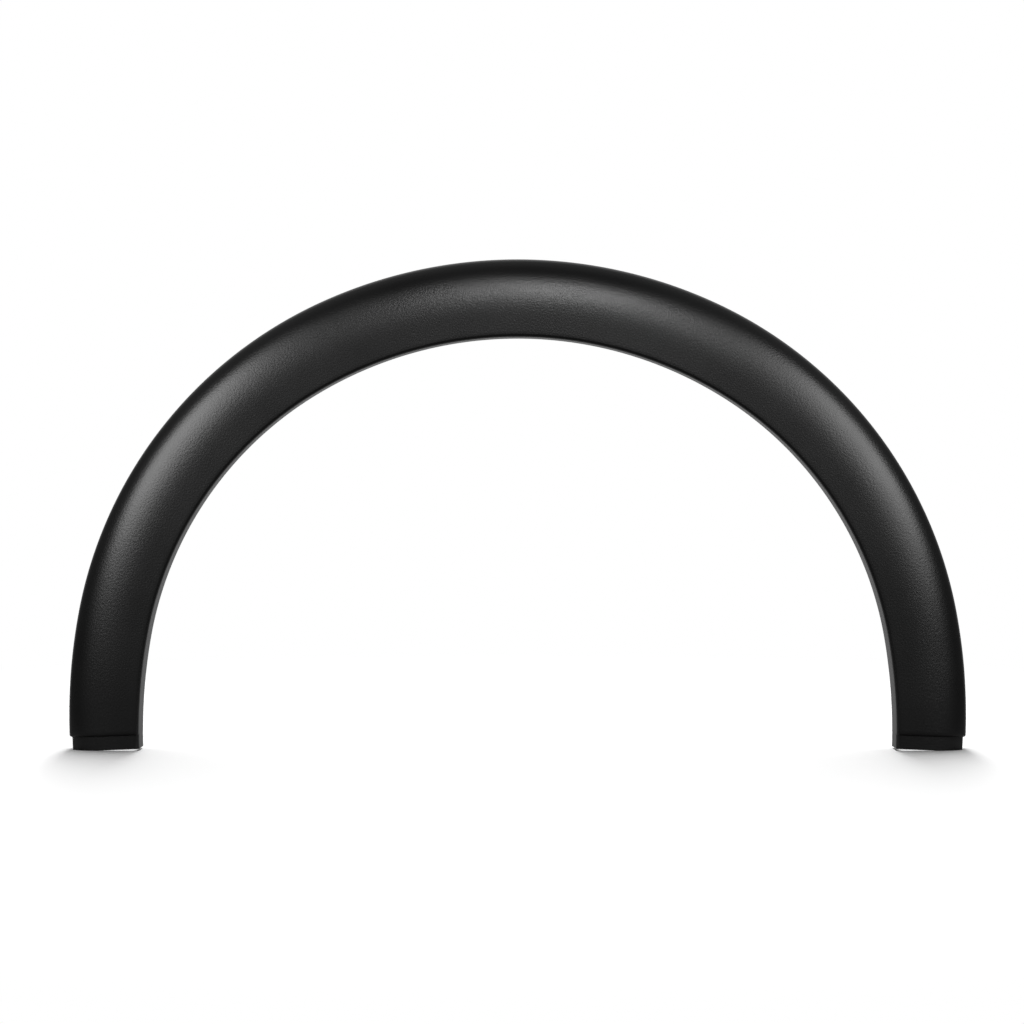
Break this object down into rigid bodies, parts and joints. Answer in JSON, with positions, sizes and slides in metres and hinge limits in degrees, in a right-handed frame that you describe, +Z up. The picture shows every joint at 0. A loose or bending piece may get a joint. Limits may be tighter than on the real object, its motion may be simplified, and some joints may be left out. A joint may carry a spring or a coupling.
{
  "type": "wheel arch trim",
  "caption": "Black moulded wheel arch trim: a crowned channel face with a return lip on the wheel side, keyhole clip seats and ribs behind, and a stepped tongue at the foot of each leg.",
  "frame": {"origin": "middle of the span and of the depth, on the floor under the two ends", "axes": "+X along the span, to the right as seen from the front; the visible face looks towards -Y and the open channel and clip seats towards +Y; +Z up, through the crown"},
  "size_m": [0.852, 0.032, 0.4649],
  "materials": {
    "black_plastic": "finely grained moulded black, low sheen"
  },
  "bodies": {
    "root": {"arch_trim": "black_plastic"}
  },
  "joints": []
}
